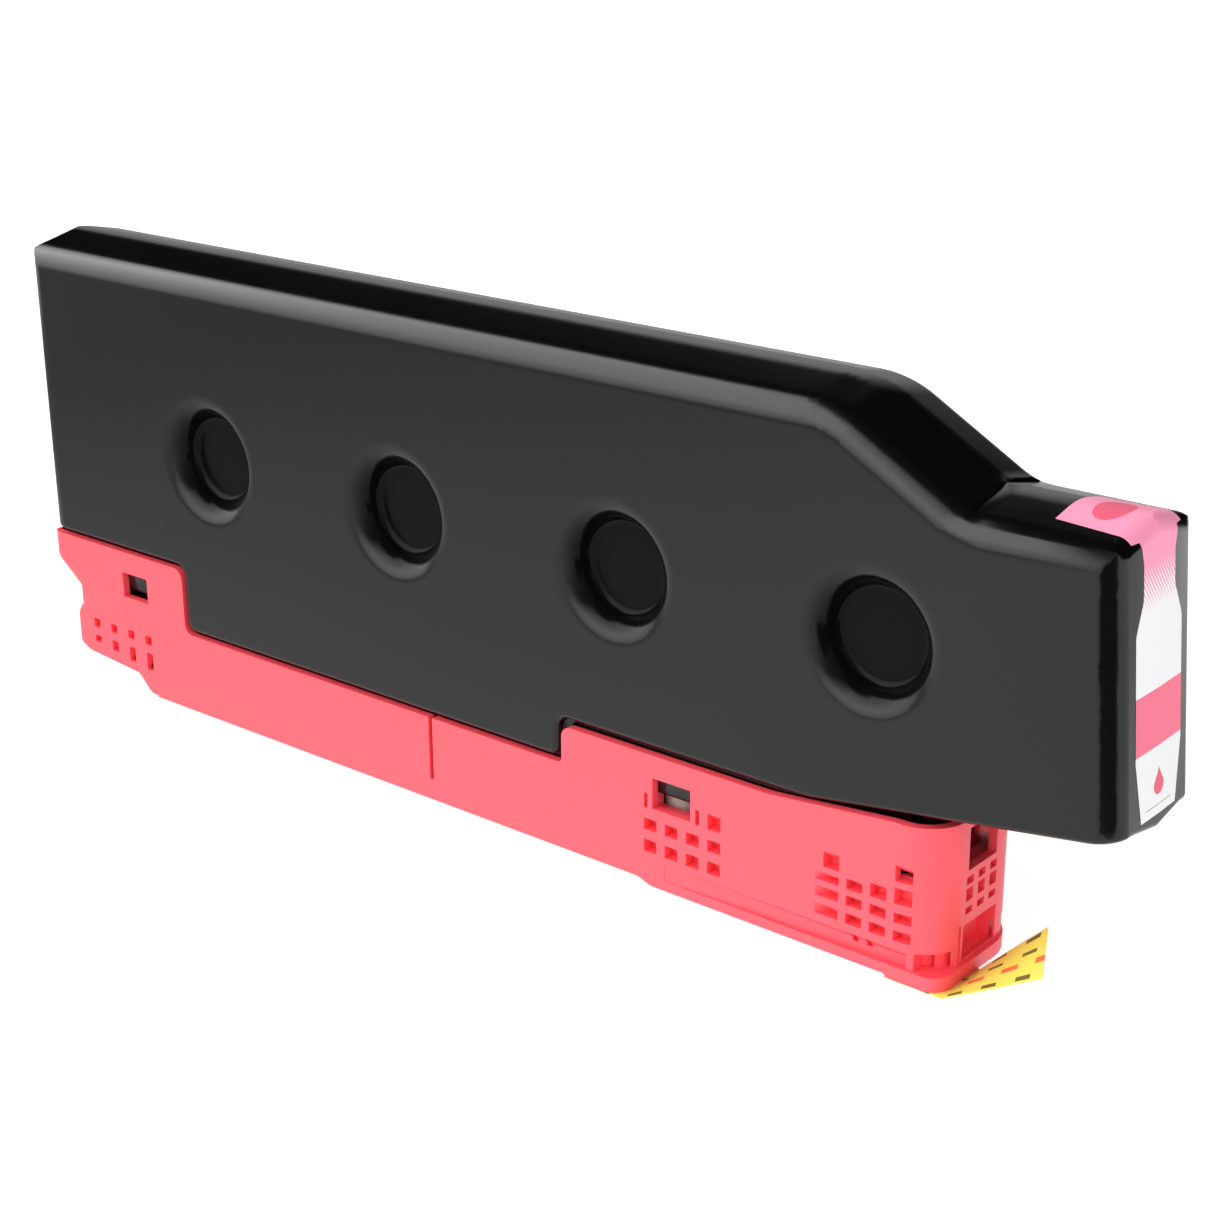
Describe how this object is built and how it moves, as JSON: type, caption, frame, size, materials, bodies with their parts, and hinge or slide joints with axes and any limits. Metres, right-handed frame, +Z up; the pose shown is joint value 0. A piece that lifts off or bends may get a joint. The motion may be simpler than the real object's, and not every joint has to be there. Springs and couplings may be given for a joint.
{
  "type": "inkjet ink cartridge",
  "caption": "Long blow-moulded ink tank snapped into a moulded carrier tray, with a valved needle port at its rear end and an air inlet sealed by a pull tape",
  "frame": {"origin": "centre of the bounding box at the bottom of the runners under the tray, where the cartridge rests", "axes": "+X along the cartridge towards its label end, +Z up, +Y across its thickness"},
  "size_m": [0.335, 0.035, 0.1274],
  "materials": {
    "tank": "satin black blow-moulded polyethylene",
    "tray": "fine satin moulded ABS",
    "label": "printed satin film",
    "tape": "glossy film tape",
    "natural": "natural polypropylene",
    "port": "black acetal",
    "rubber": "matt",
    "spring": "drawn stainless wire",
    "filter": "sintered mesh",
    "board": "solder resist",
    "gold": "gold flash",
    "potting": "cast epoxy",
    "membrane": "expanded membrane"
  },
  "bodies": {
    "cartridge": {"ink_tank": "tank", "carrier_tray": "tray", "end_label": "label", "pull_tape": "tape", "port_body": "port", "port_collar": "port", "port_seal": "rubber", "valve_spring": "spring", "inlet_filter": "filter", "spout_ring": "rubber", "chip_board": "board", "chip_contacts": "gold", "chip_blob": "potting", "air_duct": "natural", "duct_ring": "rubber", "vent_membrane": "membrane", "vent_gasket": "rubber"},
    "valve": {"valve_poppet": "natural"}
  },
  "joints": [
    {"name": "valve_slide", "type": "slide", "parent": "cartridge", "child": "valve", "axis": [1, 0, 0], "range_m": [0, 0.003], "stiffness_N_per_m": 150, "springref_m": -0.004, "deforming": ["valve_spring"]}
  ]
}
